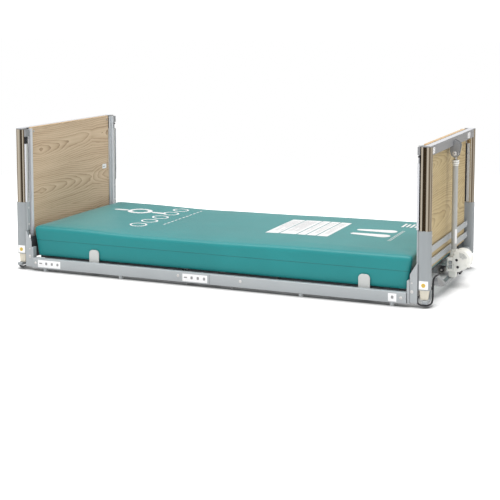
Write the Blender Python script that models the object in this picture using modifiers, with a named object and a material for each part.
"""Floor-level profiling care bed, modelled as an assembly of separate pieces.

Metres, +Z up. +X points to the foot end and -X to the head end. The origin is on
the floor under the middle of the bed, with the bed in its lowest position.

Each end has three stages. A base stands on castors and carries two inner legs and
the lift motor. A mast (columns, crossbar, end panel) slides up the legs. The
platform hangs on sleeves that slide up the columns, so it rises twice as far.
"""
import math

import bmesh
import bpy
from mathutils import Matrix, Vector

# ---- Driving dimensions -------------------------------------------------------
COLUMN_X = 1.0635            # column centre from the middle of the bed
COLUMN_Y = 0.450             # column centre from the centre line
GAP = 0.0003                 # between pieces that touch
SIDES = {"right": -1, "left": 1}
ENDS = {"head": -1, "foot": 1}

# Base
LEG_SIZE = (0.0488, 0.0298)
LEG_RADIUS = 0.0140
LEG_WALL = 0.0025
LEG_TOP = 0.660
FOOT_BOTTOM = 0.0355
FOOT_TOP = 0.0900
FOOT_SIZE_TOP = (0.047, 0.030)
FOOT_TAPER = 0.74
BAR_X = (1.058, 1.086)       # bent crossmember, low and high X
BAR_THICKNESS = 0.016
BAR_PATH = ((-0.478, 0.0272), (-0.4095, 0.0272), (-0.4095, 0.116), (-0.285, 0.116), (-0.130, 0.040))
BAR_WEB = ((0.296, 0.112), (0.290, 0.087), (0.264, 0.068), (0.230, 0.0530), (0.195, 0.0425), (0.150, 0.0365),
           (0.150, 0.048))
BAR_BEND_RADIUS = 0.026
CASTOR_PLATE_X = (0.957, 1.062)
CASTOR_PLATE_Y = (0.205, 0.292)
CASTOR_PLATE_Z = (0.0555, 0.0595)

# Castors
CASTOR_X = 0.985
CASTOR_Y = 0.265
CASTOR_TRAIL = 0.012
WHEEL_RADIUS = 0.022
WHEEL_HALF_WIDTH = 0.0098
AXLE_RADIUS = 0.0030
FORK_INSIDE = 0.0105
FORK_PLATE = 0.0020
FORK_TOP = (0.0465, 0.0500)

# Lift actuator
LIFT_X = 1.0925
LIFT_TUBE_RADIUS = 0.0135
LIFT_TUBE_BORE = 0.0115
LIFT_TUBE_Z = (0.1863, 0.6190)
LIFT_COLLAR_Z = 0.6015
LIFT_COLLAR_RADIUS = 0.0165
LIFT_ROD_RADIUS = 0.0090
LIFT_ROD_BOTTOM = 0.250
LIFT_PIN_Z = 0.652
LIFT_PIN_RADIUS = 0.0060
LIFT_EYE_RADIUS = 0.0160
LIFT_EYE_HALF_WIDTH = 0.0150
MOTOR_CENTRE = (1.134, 0.142)
MOTOR_RADIUS = 0.048
MOTOR_CAN_RADIUS = 0.038
MOTOR_Y = (-0.045, 0.035)
MOTOR_CAN_END_Y = 0.060
MOTOR_BLOCK_X = (1.0675, 1.125)
MOTOR_BLOCK_Z = (0.084, 0.150)
MOTOR_RECESS_X = (1.074, 1.096)
MOTOR_RECESS_Z = (0.096, 0.138)
MOTOR_RECESS_DEPTH = 0.008
MOTOR_NECK_RADIUS = 0.0180
MOTOR_LUG_X = (1.070, 1.108)
MOTOR_LUG_Z = (0.0485, 0.090)
MOTOR_LUG_HALF_WIDTH = 0.012

# Mast
COLUMN_SIZE = (0.055, 0.036)
COLUMN_RADIUS = 0.0170
COLUMN_WALL = 0.0020
COLUMN_Z = (0.0912, 0.7267)
PANEL_X = (1.0365, 1.0545)
PANEL_HALF_WIDTH = 0.3935
PANEL_Z = (0.152, 0.733)
PROFILE_X = (1.0210, 1.0362)
PROFILE_Y = (0.3985, 0.4300)
PROFILE_WALL = 0.0020
CROSSBAR_X = (1.0565, 1.0870)
CROSSBAR_Z = (0.6890, 0.7305)
CROSSBAR_WALL = 0.0035
EAR_Y = (0.0180, 0.0220)

# Platform
SLEEVE_SIZE = (0.061, 0.044)
SLEEVE_RADIUS = 0.0200
SLEEVE_BORE = (0.0566, 0.0376)
SLEEVE_Z = (0.081, 0.349)
BRACKET_X = (0.9885, 1.0005)
BRACKET_Y = (0.4460, 0.4765)
BRACKET_Z = (0.015, 0.121)
END_BAR_X = (1.0585, 1.0645)
END_BAR_HALF_LENGTH = 0.4277
UPPER_BAR_Z = (0.226, 0.256)
LOWER_BAR_Z = (0.168, 0.199)
RAIL_Y = (0.455, 0.482)
RAIL_Z = (0.015, 0.067)
RAIL_HALF_LENGTH = 0.988
RAIL_WALL = 0.0025
RAIL_PAD_X = (-0.92, -0.48, 0.48, 0.92)
RAIL_PAD_RADIUS = 0.0110

# Lying surface
BACK_HINGE_X = -0.145
THIGH_HINGE_X = 0.060
KNEE_HINGE_X = 0.360
HINGE_Z = 0.0555
HINGE_RADIUS = 0.0100
HINGE_PIN_RADIUS = 0.0045
FIXED_END_GAP = 0.020        # from a hinge to the end of the frame that holds its pin
MOVING_END_GAP = 0.012       # from a hinge to the end of the frame that turns on it
DECK_HALF_LENGTH = 0.940
SIDE_TUBE_Y = (0.415, 0.440)
SIDE_TUBE_Z = (0.047, 0.069)
DECK_Z = (0.0645, 0.0705)
SLAT_WIDTH = 0.045
CROSS_TUBE_Z = (0.0458, 0.0652)
CROSS_TUBE_X = ((-0.1240, -0.1000), (0.0150, 0.0390))
CROSS_TUBE_HALF_LENGTH = 0.4545
TRAY_Z = (0.0445, 0.0475)
TAB_Y = (0.4475, 0.4505)
TAB_WIDTH = 0.053
TAB_TOP = 0.127
BACK_TAB_X = -0.643
CALF_TAB_X = 0.781

# Mattress
MATTRESS_HALF_LENGTH = 0.985
MATTRESS_HALF_WIDTH = 0.445
MATTRESS_LEAN = 0.020        # how much further each end reaches at the top
MATTRESS_Z = (0.071, 0.230)
MATTRESS_SPLITS = (-0.170, 0.080, 0.360)

# Section actuators
ACTUATOR_Z = 0.022
ACTUATOR_ROD_RADIUS = 0.0070
ACTUATOR_TUBE_RADIUS = 0.0145
ACTUATOR_BORE_RADIUS = 0.0085
BACK_ACTUATOR_Y = -0.120
KNEE_ACTUATOR_Y = 0.120
LEVER_INSIDE = 0.0090
LEVER_PLATE = 0.0040
LEVER_HOLE = 0.0040

# ---- Finishes: colour, roughness, metallic ------------------------------------
FINISHES = {
    "grey_paint": ((0.42, 0.44, 0.46), 0.45, 0.3),
    "stainless": ((0.62, 0.60, 0.57), 0.18, 1.0),
    "aluminium": ((0.66, 0.67, 0.70), 0.35, 0.8),
    "oak": ((0.55, 0.45, 0.31), 0.50, 0.0),
    "cream_plastic": ((0.76, 0.74, 0.68), 0.45, 0.0),
    "black_rubber": ((0.03, 0.03, 0.03), 0.80, 0.0),
    "dark_steel": ((0.16, 0.16, 0.17), 0.50, 0.6),
    "zinc": ((0.55, 0.56, 0.58), 0.35, 0.9),
    "teal_cover": ((0.05, 0.30, 0.30), 0.60, 0.0),
}


# ---- Scene helpers ------------------------------------------------------------
def clear_scene():
    for obj in list(bpy.data.objects):
        bpy.data.objects.remove(obj, do_unlink=True)


def new_collection(name):
    collection = bpy.data.collections.new(name)
    bpy.context.scene.collection.children.link(collection)
    return collection


def move_to(obj, collection):
    for owner in list(obj.users_collection):
        owner.objects.unlink(obj)
    collection.objects.link(obj)


def paint(obj, finish):
    colour, roughness, metallic = FINISHES[finish]
    material = bpy.data.materials.new(obj.name + "_" + finish)
    material.use_nodes = True
    shader = material.node_tree.nodes["Principled BSDF"]
    shader.inputs["Base Color"].default_value = (*colour, 1.0)
    shader.inputs["Roughness"].default_value = roughness
    shader.inputs["Metallic"].default_value = metallic
    obj.data.materials.clear()
    obj.data.materials.append(material)


def joint_frame(name, location, parent=None):
    """An empty on a joint's axis; a body's pieces are its children."""
    empty = bpy.data.objects.new(name + "_frame", None)
    empty.empty_display_size = 0.05
    PARTS.objects.link(empty)
    empty.location = location
    if parent is not None:
        empty.parent = parent
        empty.matrix_parent_inverse = world_matrix(parent).inverted()
    return empty


def world_matrix(obj):
    bpy.context.view_layer.update()
    return obj.matrix_world.copy()


def finish_piece(obj, frame, finish, smooth_angle=30):
    """Give a finished piece its colour, shading and place in the assembly."""
    paint(obj, finish)
    obj.data.shade_smooth()
    obj.data.set_sharp_from_angle(angle=math.radians(smooth_angle))
    move_to(obj, PARTS)
    obj.parent = frame
    obj.matrix_parent_inverse = world_matrix(frame).inverted()
    return obj


# ---- Shape helpers ------------------------------------------------------------
def baked(obj, weld=0.0):
    """Replace an object by its evaluated mesh, in the same place."""
    name = obj.name
    matrix = world_matrix(obj)
    depsgraph = bpy.context.evaluated_depsgraph_get()
    mesh = bpy.data.meshes.new_from_object(obj.evaluated_get(depsgraph))
    bpy.data.objects.remove(obj, do_unlink=True)
    if weld:
        bm = bmesh.new()
        bm.from_mesh(mesh)
        bmesh.ops.remove_doubles(bm, verts=bm.verts, dist=weld)
        bm.to_mesh(mesh)
        bm.free()
    result = bpy.data.objects.new(name, mesh)
    WORK.objects.link(result)
    result.matrix_world = matrix
    return result


def box(name, x, y, z, bevel=0.0):
    """A box between low and high values on each axis."""
    low = Vector((min(x), min(y), min(z)))
    high = Vector((max(x), max(y), max(z)))
    bpy.ops.mesh.primitive_cube_add(size=1, location=(low + high) / 2)
    obj = bpy.context.object
    obj.name = name
    obj.scale = high - low
    bpy.ops.object.transform_apply(location=False, rotation=False, scale=True)
    if bevel:
        modifier = obj.modifiers.new("Bevel", "BEVEL")
        modifier.width = bevel
        modifier.segments = 2
    return baked(obj)


def cylinder(name, axis, centre, radius, low, high, segments=20):
    """A cylinder along an axis; centre holds the two other coordinates in XYZ order."""
    middle = list(centre)
    middle.insert("XYZ".index(axis), (low + high) / 2)
    turn = {"X": (0, math.pi / 2, 0), "Y": (math.pi / 2, 0, 0), "Z": (0, 0, 0)}[axis]
    bpy.ops.mesh.primitive_cylinder_add(vertices=segments, radius=radius, depth=abs(high - low),
                                        location=middle, rotation=turn)
    obj = bpy.context.object
    obj.name = name
    return baked(obj)


def plate(name, axis, loops, low, high):
    """A flat outline, with holes, extruded between two values of an axis.

    Loop points are (Y, Z) for axis X, (X, Z) for axis Y and (X, Y) for axis Z.
    """
    curve = bpy.data.curves.new(name, "CURVE")
    curve.dimensions = "2D"
    curve.fill_mode = "BOTH"
    curve.extrude = abs(high - low) / 2
    for loop in loops:
        spline = curve.splines.new("POLY")
        spline.points.add(len(loop) - 1)
        for point, (u, v) in zip(spline.points, loop):
            point.co = (u, v, 0.0, 1.0)
        spline.use_cyclic_u = True
    obj = bpy.data.objects.new(name, curve)
    WORK.objects.link(obj)
    middle = (low + high) / 2
    quarter = math.pi / 2
    obj.location = {"X": (middle, 0, 0), "Y": (0, middle, 0), "Z": (0, 0, middle)}[axis]
    obj.rotation_euler = {"X": (quarter, 0, quarter), "Y": (quarter, 0, 0), "Z": (0, 0, 0)}[axis]
    return baked(obj, weld=0.00001)


def turned(name, axis, centre, profile, steps=20):
    """A closed (radius, height) profile turned about an axis through centre."""
    mesh = bpy.data.meshes.new(name)
    count = len(profile)
    edges = [(i, (i + 1) % count) for i in range(count)]
    mesh.from_pydata([(radius, 0, height) for radius, height in profile], edges, [])
    obj = bpy.data.objects.new(name, mesh)
    WORK.objects.link(obj)
    obj.location = centre
    quarter = math.pi / 2
    obj.rotation_euler = {"X": (0, quarter, 0), "Y": (-quarter, 0, 0), "Z": (0, 0, 0)}[axis]
    screw = obj.modifiers.new("Screw", "SCREW")
    screw.steps = steps
    screw.render_steps = steps
    screw.use_merge_vertices = True
    screw.merge_threshold = 0.00001
    return baked(obj)


def combined(operation, base, others):
    """Boolean the other objects into the base and remove them."""
    for other in others:
        other.display_type = "WIRE"
        other.hide_render = True
        modifier = base.modifiers.new(operation.title(), "BOOLEAN")
        modifier.operation = operation
        modifier.solver = "EXACT"
        modifier.object = other
    result = baked(base)
    for other in others:
        bpy.data.objects.remove(other, do_unlink=True)
    return result


def joined(base, *others):
    return combined("UNION", base, others)


def cut(base, *others):
    return combined("DIFFERENCE", base, others)


def arc(centre, radius, start, end, steps):
    """Points on an arc, angles in degrees, both ends included."""
    angles = [math.radians(start + (end - start) * i / steps) for i in range(steps + 1)]
    return [(centre[0] + radius * math.cos(a), centre[1] + radius * math.sin(a)) for a in angles]


def rounded_rectangle(centre, size, radius, steps=4):
    half_width = size[0] / 2 - radius
    half_height = size[1] / 2 - radius
    corners = ((1, 1, 0), (-1, 1, 90), (-1, -1, 180), (1, -1, 270))
    points = []
    for sign_u, sign_v, start in corners:
        middle = (centre[0] + sign_u * half_width, centre[1] + sign_v * half_height)
        points += arc(middle, radius, start, start + 90, steps)
    return points


def circle(centre, radius, segments=20):
    return arc(centre, radius, 0, 360 * (segments - 1) / segments, segments - 1)


def filleted(points, radius, steps=4):
    """An open path with each inner corner rounded to a radius."""
    path = [Vector(points[0])]
    for before, corner, after in zip(points, points[1:], points[2:]):
        corner = Vector(corner)
        back = (Vector(before) - corner).normalized()
        ahead = (Vector(after) - corner).normalized()
        half_angle = back.angle(ahead) / 2
        reach = radius / math.tan(half_angle)
        middle = corner + (back + ahead).normalized() * (radius / math.sin(half_angle))
        first = corner + back * reach - middle
        sweep = first.angle_signed(corner + ahead * reach - middle)
        path += [middle + Matrix.Rotation(-sweep * i / steps, 2) @ first for i in range(steps + 1)]
    path.append(Vector(points[-1]))
    return path


def strip_outline(path, thickness):
    """The closed outline of a strip of even thickness along a path."""
    left = []
    right = []
    for i, point in enumerate(path):
        ahead = path[min(i + 1, len(path) - 1)] - path[max(i - 1, 0)]
        normal = Vector((-ahead.y, ahead.x)).normalized() * (thickness / 2)
        left.append(tuple(point + normal))
        right.append(tuple(point - normal))
    return left + right[::-1]


def mirrored(points):
    """The same path on the other side of the centre line, in reverse order."""
    return [(-u, v) for u, v in reversed(points)]


def along(end, values):
    """X values on an end's own side of the bed."""
    return tuple(ENDS[end] * value for value in values)


def points_along(end, points):
    """(X, Z) points on an end's own side of the bed."""
    return [(ENDS[end] * u, v) for u, v in points]


def across(side, values):
    return tuple(SIDES[side] * value for value in values)


# ---- Base ---------------------------------------------------------------------
def inner_leg(end, side, frame):
    centre = (ENDS[end] * COLUMN_X, SIDES[side] * COLUMN_Y)
    bore = (LEG_SIZE[0] - 2 * LEG_WALL, LEG_SIZE[1] - 2 * LEG_WALL)
    loops = [rounded_rectangle(centre, LEG_SIZE, LEG_RADIUS),
             rounded_rectangle(centre, bore, LEG_RADIUS - LEG_WALL)]
    leg = plate(f"{end}_inner_leg_{side}", "Z", loops, FOOT_TOP + GAP, LEG_TOP)
    finish_piece(leg, frame, "zinc")


def leg_foot(end, side, frame):
    centre = (ENDS[end] * COLUMN_X, SIDES[side] * COLUMN_Y)
    foot = plate(f"{end}_leg_foot_{side}", "Z", [rounded_rectangle((0, 0), FOOT_SIZE_TOP, 0.008, 3)],
                 FOOT_BOTTOM, FOOT_TOP)
    shoulder = (FOOT_TOP - FOOT_BOTTOM) / 2
    for vertex in foot.data.vertices:
        if vertex.co.z < shoulder * 0.99:
            vertex.co.x *= FOOT_TAPER
            vertex.co.y *= FOOT_TAPER
    foot.location.x = centre[0]
    foot.location.y = centre[1]
    finish_piece(foot, frame, "cream_plastic")


def crossmember(end, frame):
    """A bent bar between the feet, with a web under each slope and two castor plates."""
    path = filleted(BAR_PATH + tuple(mirrored(BAR_PATH)), BAR_BEND_RADIUS)
    bar = plate(f"{end}_crossmember", "X", [strip_outline(path, BAR_THICKNESS)], *along(end, BAR_X))
    fittings = []
    for side, sign in SIDES.items():
        fittings.append(box("castor_plate", along(end, CASTOR_PLATE_X), across(side, CASTOR_PLATE_Y),
                            CASTOR_PLATE_Z))
        outline = [(sign * y, z) for y, z in BAR_WEB]
        x_low, x_high = sorted(along(end, (BAR_X[0] + 0.001, BAR_X[1] - 0.001)))
        fittings.append(plate("web", "X", [outline], x_low, x_high))
    finish_piece(joined(bar, *fittings), frame, "grey_paint")


def lift_motor(end, frame):
    name = f"{end}_lift_motor"
    centre = (ENDS[end] * MOTOR_CENTRE[0], MOTOR_CENTRE[1])
    face, back = MOTOR_Y
    gearbox = cylinder(name, "Y", centre, MOTOR_RADIUS, face, back, 32)
    block = box("block", along(end, MOTOR_BLOCK_X), MOTOR_Y, MOTOR_BLOCK_Z, 0.004)
    can = cylinder("can", "Y", centre, MOTOR_CAN_RADIUS, back - 0.001, MOTOR_CAN_END_Y, 24)
    neck = cylinder("neck", "Z", (ENDS[end] * LIFT_X, 0), MOTOR_NECK_RADIUS,
                    MOTOR_BLOCK_Z[1] - 0.010, LIFT_TUBE_Z[0] - GAP)
    lug = box("lug", along(end, MOTOR_LUG_X), (-MOTOR_LUG_HALF_WIDTH, MOTOR_LUG_HALF_WIDTH), MOTOR_LUG_Z)
    recess = box("recess", along(end, MOTOR_RECESS_X), (face - 0.01, face + MOTOR_RECESS_DEPTH),
                 MOTOR_RECESS_Z)
    motor = cut(joined(gearbox, block, can, neck, lug), recess)
    finish_piece(motor, frame, "cream_plastic")


def lift_tube(end, frame):
    top = LIFT_TUBE_Z[1]
    profile = [(LIFT_COLLAR_RADIUS, top), (LIFT_COLLAR_RADIUS, LIFT_COLLAR_Z),
               (LIFT_TUBE_RADIUS, LIFT_COLLAR_Z), (LIFT_TUBE_RADIUS, LIFT_TUBE_Z[0]),
               (LIFT_TUBE_BORE, LIFT_TUBE_Z[0]), (LIFT_TUBE_BORE, top)]
    tube = turned(f"{end}_lift_tube", "Z", (ENDS[end] * LIFT_X, 0, 0), profile)
    finish_piece(tube, frame, "aluminium")


def castor(end, side, base_frame):
    """A swivelling fork with a stem and an axle, and the wheel that turns on it."""
    x = ENDS[end] * CASTOR_X
    y = SIDES[side] * CASTOR_Y
    axle_x = x - ENDS[end] * CASTOR_TRAIL
    swivel = joint_frame(f"{end}_castor_swivel_{side}", (x, y, 0), base_frame)
    fork_top = box(f"{end}_castor_fork_{side}", (x - 0.018, x + 0.018),
                   (y - FORK_INSIDE - FORK_PLATE, y + FORK_INSIDE + FORK_PLATE), FORK_TOP)
    cheek_top = FORK_TOP[0] + 0.001
    cheek = points_along(end, [(CASTOR_X + 0.015, cheek_top), (CASTOR_X - 0.017, cheek_top)])
    cheek += points_along(end, arc((CASTOR_X - CASTOR_TRAIL, WHEEL_RADIUS), 0.006, 180, 360, 6))
    cheeks = [plate("cheek", "Y", [cheek], y + sign * FORK_INSIDE, y + sign * (FORK_INSIDE + FORK_PLATE))
              for sign in (-1, 1)]
    stem = cylinder("stem", "Z", (x, y), 0.0060, FORK_TOP[0] + 0.001, CASTOR_PLATE_Z[0] - GAP, 16)
    reach = FORK_INSIDE + FORK_PLATE / 2
    axle = cylinder("axle", "Y", (axle_x, WHEEL_RADIUS), AXLE_RADIUS, y - reach, y + reach, 16)
    finish_piece(joined(fork_top, *cheeks, stem, axle), swivel, "dark_steel")
    spin = joint_frame(f"{end}_castor_wheel_{side}", (axle_x, y, WHEEL_RADIUS), swivel)
    tread = WHEEL_HALF_WIDTH - 0.003
    bore = AXLE_RADIUS + 0.0004
    profile = [(bore, WHEEL_HALF_WIDTH), (0.0185, WHEEL_HALF_WIDTH), (WHEEL_RADIUS, tread),
               (WHEEL_RADIUS, -tread), (0.0185, -WHEEL_HALF_WIDTH), (bore, -WHEEL_HALF_WIDTH)]
    wheel = turned(f"{end}_castor_wheel_{side}", "Y", (axle_x, y, WHEEL_RADIUS), profile)
    finish_piece(wheel, spin, "black_rubber")


def base(end, frame):
    for side in SIDES:
        inner_leg(end, side, frame)
        leg_foot(end, side, frame)
        castor(end, side, frame)
    crossmember(end, frame)
    lift_motor(end, frame)
    lift_tube(end, frame)


# ---- Mast ---------------------------------------------------------------------
def column(end, side, frame):
    centre = (ENDS[end] * COLUMN_X, SIDES[side] * COLUMN_Y)
    bore = (COLUMN_SIZE[0] - 2 * COLUMN_WALL, COLUMN_SIZE[1] - 2 * COLUMN_WALL)
    loops = [rounded_rectangle(centre, COLUMN_SIZE, COLUMN_RADIUS),
             rounded_rectangle(centre, bore, COLUMN_RADIUS - COLUMN_WALL)]
    finish_piece(plate(f"{end}_column_{side}", "Z", loops, *COLUMN_Z), frame, "stainless")


def edge_profile(end, side, frame):
    x = along(end, PROFILE_X)
    y = across(side, PROFILE_Y)
    centre = (sum(x) / 2, sum(y) / 2)
    size = (PROFILE_X[1] - PROFILE_X[0], PROFILE_Y[1] - PROFILE_Y[0])
    bore = (size[0] - 2 * PROFILE_WALL, size[1] - 2 * PROFILE_WALL)
    loops = [rounded_rectangle(centre, size, 0.003, 2), rounded_rectangle(centre, bore, 0.001, 1)]
    profile = plate(f"{end}_edge_profile_{side}", "Z", loops, PANEL_Z[0], COLUMN_Z[1])
    finish_piece(profile, frame, "aluminium")


def crossbar(end, frame):
    """A channel between the columns, with a cap over each and two ears for the lift pin."""
    reach = COLUMN_Y - COLUMN_SIZE[1] / 2 - GAP
    x_low, x_high = CROSSBAR_X
    z_low, z_high = CROSSBAR_Z
    cap_low = COLUMN_Z[1] + GAP
    web = box(f"{end}_crossbar", along(end, (x_high - CROSSBAR_WALL, x_high)), (-reach, reach), CROSSBAR_Z)
    top = box("top", along(end, CROSSBAR_X), (-reach - 0.010, reach + 0.010), (cap_low, z_high))
    bottom = box("bottom", along(end, (x_low + 0.010, x_high)), (-reach, reach),
                 (z_low, z_low + CROSSBAR_WALL))
    pieces = [top, bottom]
    for side in SIDES:
        centre = (ENDS[end] * COLUMN_X, SIDES[side] * COLUMN_Y)
        outline = rounded_rectangle(centre, (COLUMN_SIZE[0] + 0.001, COLUMN_SIZE[1] + 0.001), COLUMN_RADIUS)
        pieces.append(plate("cap", "Z", [outline], cap_low + 0.0001, z_high + 0.0004))
        ear = [(x_low + 0.012, z_low + 0.004), (x_low + 0.012, 0.662)]
        ear += arc((LIFT_X, LIFT_PIN_Z), 0.0185, 205, 335, 8)
        ear += arc((LIFT_X - 0.004, 0.688), 0.0285, -18, 90, 8)
        ear += [(x_high - 0.002, 0.7165), (x_high - 0.002, z_low + 0.004)]
        pieces.append(plate("ear", "Y", [points_along(end, ear)], *across(side, EAR_Y)))
    reach = EAR_Y[1] + 0.0025
    pieces.append(cylinder("pin", "Y", (ENDS[end] * LIFT_X, LIFT_PIN_Z), LIFT_PIN_RADIUS, -reach, reach, 14))
    finish_piece(joined(web, *pieces), frame, "grey_paint")


def end_panel(end, frame):
    panel = box(f"{end}_panel", along(end, PANEL_X), (-PANEL_HALF_WIDTH, PANEL_HALF_WIDTH), PANEL_Z, 0.0015)
    finish_piece(panel, frame, "oak")


def lift_rod(end, frame):
    x = ENDS[end] * LIFT_X
    loops = [circle((x, LIFT_PIN_Z), LIFT_EYE_RADIUS, 20),
             circle((x, LIFT_PIN_Z), LIFT_PIN_RADIUS + 0.0005, 14)]
    eye = plate(f"{end}_lift_rod", "Y", loops, -LIFT_EYE_HALF_WIDTH, LIFT_EYE_HALF_WIDTH)
    top = LIFT_PIN_Z - (LIFT_EYE_RADIUS + LIFT_PIN_RADIUS) / 2
    rod = cylinder("rod", "Z", (x, 0), LIFT_ROD_RADIUS, LIFT_ROD_BOTTOM, top, 16)
    finish_piece(joined(eye, rod), frame, "stainless")


def mast(end, frame):
    for side in SIDES:
        column(end, side, frame)
        edge_profile(end, side, frame)
    crossbar(end, frame)
    end_panel(end, frame)
    lift_rod(end, frame)


# ---- Platform -----------------------------------------------------------------
def sleeve(end, side, frame):
    """A sleeve on the column with its gusset plate and the bracket that holds the rail."""
    centre = (ENDS[end] * COLUMN_X, SIDES[side] * COLUMN_Y)
    outer_y = COLUMN_Y + SLEEVE_SIZE[1] / 2
    loops = [rounded_rectangle(centre, SLEEVE_SIZE, SLEEVE_RADIUS),
             rounded_rectangle(centre, SLEEVE_BORE, SLEEVE_RADIUS - 0.0025)]
    tube = plate(f"{end}_sleeve_{side}", "Z", loops, *SLEEVE_Z)
    outline = [(1.0015, 0.019), (1.0366, 0.019), (1.0366, 0.201), (1.0315, 0.201), (1.0015, 0.150)]
    gusset = plate("gusset", "Y", [points_along(end, outline)],
                   *across(side, (outer_y + 0.0005, outer_y - 0.0028)))
    web = box("web", along(end, (1.0290, 1.0345)), across(side, (0.4465, outer_y - 0.0015)), (0.085, 0.195))
    bracket = box("bracket", along(end, BRACKET_X), across(side, BRACKET_Y), BRACKET_Z, 0.0015)
    flange = box("flange", along(end, (BRACKET_X[1] - 0.001, 1.0300)),
                 across(side, (0.4645, outer_y - 0.0012)), (0.021, 0.119))
    finish_piece(joined(tube, gusset, web, bracket, flange), frame, "grey_paint")


def end_bars(end, frame):
    for name, z in (("upper", UPPER_BAR_Z), ("lower", LOWER_BAR_Z)):
        reach = END_BAR_HALF_LENGTH
        bar = box(f"{end}_{name}_bar", along(end, END_BAR_X), (-reach, reach), z)
        finish_piece(bar, frame, "grey_paint")


def side_rail(side, frame):
    centre = (sum(across(side, RAIL_Y)) / 2, sum(RAIL_Z) / 2)
    size = (RAIL_Y[1] - RAIL_Y[0], RAIL_Z[1] - RAIL_Z[0])
    bore = (size[0] - 2 * RAIL_WALL, size[1] - 2 * RAIL_WALL)
    loops = [rounded_rectangle(centre, size, 0.004, 2), rounded_rectangle(centre, bore, 0.002, 1)]
    rail = plate(f"side_rail_{side}", "X", loops, -RAIL_HALF_LENGTH, RAIL_HALF_LENGTH)
    pads = [cylinder("pad", "Z", (x, centre[0]), RAIL_PAD_RADIUS, 0, RAIL_Z[0] + RAIL_WALL / 2, 16)
            for x in RAIL_PAD_X]
    finish_piece(joined(rail, *pads), frame, "grey_paint")


def slats(x_low, x_high, count):
    """Even cross slats whose ends lie inside the side tubes."""
    pitch = (x_high - x_low - SLAT_WIDTH) / (count - 1)
    starts = [x_low + i * pitch for i in range(count)]
    reach = sum(SIDE_TUBE_Y) / 2
    return [box("slat", (start, start + SLAT_WIDTH), (-reach, reach), DECK_Z) for start in starts]


def section(name, x_low, x_high, slat_count, fittings):
    """Two side tubes with cross slats and a section's own fittings, as one piece."""
    tubes = [box(name, (x_low - 0.0005, x_high + 0.0005), across(side, SIDE_TUBE_Y), SIDE_TUBE_Z)
             for side in SIDES]
    return joined(tubes[0], tubes[1], *slats(x_low, x_high, slat_count), *fittings)


def hinge_ears(hinge_x, towards, pinned):
    """Both ears of one frame at a hinge. The pinned ears carry the pin, the others its hole."""
    reach = hinge_x + towards * (FIXED_END_GAP + 0.015)
    y = (0.4285, 0.4375) if pinned else (0.4175, 0.4265)
    start = 90 if towards > 0 else -90
    outline = arc((hinge_x, HINGE_Z), HINGE_RADIUS, start, start + 180, 6)
    outline += [(reach, outline[-1][1]), (reach, outline[0][1])]
    loops = [outline]
    if not pinned:
        loops.append(circle((hinge_x, HINGE_Z), HINGE_PIN_RADIUS + 0.0005, 8))
    pieces = []
    for side in SIDES:
        pieces.append(plate("ear", "Y", loops, *across(side, y)))
        if pinned:
            pin_y = across(side, (0.4160, 0.4300))
            pieces.append(cylinder("pin", "Y", (hinge_x, HINGE_Z), HINGE_PIN_RADIUS, *pin_y, 8))
    return pieces


def levers(hinge_x, towards, y):
    """Two plates that hang from a section beside its actuator's eye."""
    slat = hinge_x + towards * (MOVING_END_GAP + 0.001)
    outline = [(slat, DECK_Z[0] + 0.002), (slat + towards * 0.040, DECK_Z[0] + 0.002)]
    sweep = (0, -180) if towards > 0 else (180, 360)
    outline += arc((hinge_x, ACTUATOR_Z), 0.0085, *sweep, 6)
    loops = [outline, circle((hinge_x, ACTUATOR_Z), LEVER_HOLE, 8)]
    return [plate("lever", "Y", loops, y + sign * LEVER_INSIDE, y + sign * (LEVER_INSIDE + LEVER_PLATE))
            for sign in (-1, 1)]


def retainers(x):
    """Round-topped tabs outside the mattress, on short links from the side tubes."""
    pieces = []
    radius = 0.018
    half = TAB_WIDTH / 2
    outline = [(x - half, 0.050), (x + half, 0.050)]
    outline += arc((x + half - radius, TAB_TOP - radius), radius, 0, 90, 5)
    outline += arc((x - half + radius, TAB_TOP - radius), radius, 90, 180, 5)
    for side in SIDES:
        pieces.append(plate("tab", "Y", [outline], *across(side, TAB_Y)))
        link_y = across(side, (SIDE_TUBE_Y[1] - 0.002, TAB_Y[0] + 0.0015))
        pieces.append(box("link", (x - half + 0.004, x + half - 0.004), link_y, (0.052, 0.060)))
    return pieces


def seat_frame(frame):
    """The fixed middle section, its cross tubes and the trays for the drives below."""
    x_low = BACK_HINGE_X + FIXED_END_GAP
    x_high = THIGH_HINGE_X - FIXED_END_GAP
    pieces = []
    for x in CROSS_TUBE_X:
        reach = CROSS_TUBE_HALF_LENGTH
        pieces.append(box("cross_tube", x, (-reach, reach), CROSS_TUBE_Z))
    pieces.append(box("back_tray", (-0.110, 0.290), (-0.170, -0.070), TRAY_Z))
    pieces.append(box("knee_tray", (-0.600, 0.030), (0.050, 0.190), TRAY_Z))
    pieces += hinge_ears(BACK_HINGE_X, 1, True)
    pieces += hinge_ears(THIGH_HINGE_X, -1, True)
    finish_piece(section("seat_frame", x_low, x_high, 2, pieces), frame, "grey_paint")


def back_section(frame):
    x_high = BACK_HINGE_X - MOVING_END_GAP
    pieces = hinge_ears(BACK_HINGE_X, -1, False)
    pieces += levers(BACK_HINGE_X, -1, BACK_ACTUATOR_Y)
    pieces += retainers(BACK_TAB_X)
    finish_piece(section("back_section", -DECK_HALF_LENGTH, x_high, 8, pieces), frame, "grey_paint")


def thigh_section(frame):
    x_low = THIGH_HINGE_X + MOVING_END_GAP
    x_high = KNEE_HINGE_X - FIXED_END_GAP
    pieces = hinge_ears(THIGH_HINGE_X, 1, False)
    pieces += hinge_ears(KNEE_HINGE_X, -1, True)
    pieces += levers(THIGH_HINGE_X, 1, KNEE_ACTUATOR_Y)
    finish_piece(section("thigh_section", x_low, x_high, 3, pieces), frame, "grey_paint")


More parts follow.
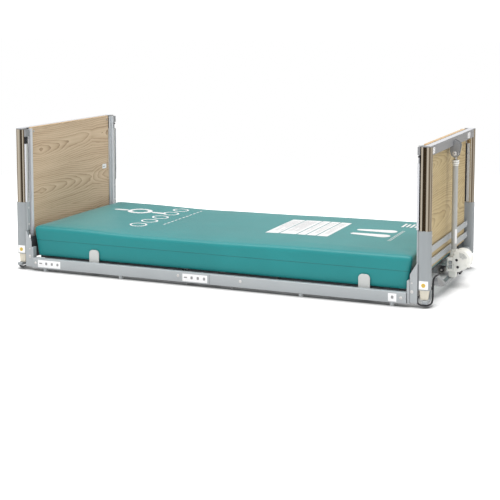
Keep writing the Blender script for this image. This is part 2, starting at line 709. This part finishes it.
def calf_section(frame):
    x_low = KNEE_HINGE_X + MOVING_END_GAP
    pieces = hinge_ears(KNEE_HINGE_X, 1, False)
    pieces += retainers(CALF_TAB_X)
    finish_piece(section("calf_section", x_low, DECK_HALF_LENGTH, 6, pieces), frame, "grey_paint")


def section_actuator(name, frame, rod_frame, eye_x, y, towards):
    """A slim actuator that pushes its rod's eye towards one end of the bed."""
    def x(*distances):
        return tuple(eye_x - towards * distance for distance in distances)

    motor = box(name, x(0.255, 0.415), (y - 0.045, y + 0.045), (0.006, TRAY_Z[0] - 0.0005), 0.004)
    tube = cylinder("tube", "X", (y, ACTUATOR_Z), ACTUATOR_TUBE_RADIUS, *x(0.080, 0.260))
    bore = cylinder("bore", "X", (y, ACTUATOR_Z), ACTUATOR_BORE_RADIUS, *x(0.075, 0.205))
    finish_piece(cut(joined(motor, tube), bore), frame, "cream_plastic")
    centre = (eye_x, ACTUATOR_Z)
    loops = [circle(centre, 0.0085, 16), circle(centre, LEVER_HOLE, 10)]
    eye = plate(name + "_rod", "Y", loops, y - 0.008, y + 0.008)
    rod = cylinder("rod", "X", (y, ACTUATOR_Z), ACTUATOR_ROD_RADIUS, *x(0.006, 0.190), 16)
    finish_piece(joined(eye, rod), rod_frame, "stainless")


def control_box(frame):
    case = box("control_box", (-0.580, -0.420), (0.055, 0.185), (0.010, TRAY_Z[0] - 0.0005), 0.004)
    finish_piece(case, frame, "cream_plastic")


def mattress_piece(name, x_low, x_high, frame):
    """A stretch of the mattress; an end of the whole mattress leans out towards its top."""
    piece = box(name, (x_low, x_high), (-MATTRESS_HALF_WIDTH, MATTRESS_HALF_WIDTH), MATTRESS_Z, 0.006)
    height = MATTRESS_Z[1] - MATTRESS_Z[0]
    for vertex in piece.data.vertices:
        x = piece.location.x + vertex.co.x
        if abs(x) > MATTRESS_HALF_LENGTH - 0.010:
            vertex.co.x += math.copysign(MATTRESS_LEAN, x) * (vertex.co.z / height + 0.5)
    finish_piece(piece, frame, "teal_cover")


def main():
    head_base = joint_frame("head_base", (-COLUMN_X, 0, 0))
    head_mast = joint_frame("head_mast", (-COLUMN_X, 0, 0), head_base)
    platform = joint_frame("platform", (0, 0, 0), head_mast)
    foot_mast = joint_frame("foot_mast", (COLUMN_X, 0, 0), platform)
    foot_base = joint_frame("foot_base", (COLUMN_X, 0, 0), foot_mast)
    back_rest = joint_frame("back_rest", (BACK_HINGE_X, 0, HINGE_Z), platform)
    thigh_rest = joint_frame("thigh_rest", (THIGH_HINGE_X, 0, HINGE_Z), platform)
    calf_rest = joint_frame("calf_rest", (KNEE_HINGE_X, 0, HINGE_Z), thigh_rest)
    back_rod = joint_frame("back_rod", (BACK_HINGE_X, BACK_ACTUATOR_Y, ACTUATOR_Z), platform)
    knee_rod = joint_frame("knee_rod", (THIGH_HINGE_X, KNEE_ACTUATOR_Y, ACTUATOR_Z), platform)

    base("head", head_base)
    base("foot", foot_base)
    mast("head", head_mast)
    mast("foot", foot_mast)
    for end in ENDS:
        for side in SIDES:
            sleeve(end, side, platform)
        end_bars(end, platform)
    for side in SIDES:
        side_rail(side, platform)
    seat_frame(platform)
    back_section(back_rest)
    thigh_section(thigh_rest)
    calf_section(calf_rest)
    control_box(platform)
    section_actuator("back_actuator", platform, back_rod, BACK_HINGE_X, BACK_ACTUATOR_Y, -1)
    section_actuator("knee_actuator", platform, knee_rod, THIGH_HINGE_X, KNEE_ACTUATOR_Y, 1)

    back_split, thigh_split, knee_split = MATTRESS_SPLITS
    mattress_piece("mattress_back", -MATTRESS_HALF_LENGTH, back_split, back_rest)
    mattress_piece("mattress_seat", back_split + 0.0005, thigh_split - 0.0005, platform)
    mattress_piece("mattress_thigh", thigh_split, knee_split - GAP, thigh_rest)
    mattress_piece("mattress_calf", knee_split, MATTRESS_HALF_LENGTH, calf_rest)


clear_scene()
PARTS = new_collection("floor_level_care_bed")
WORK = new_collection("cutters")
main()
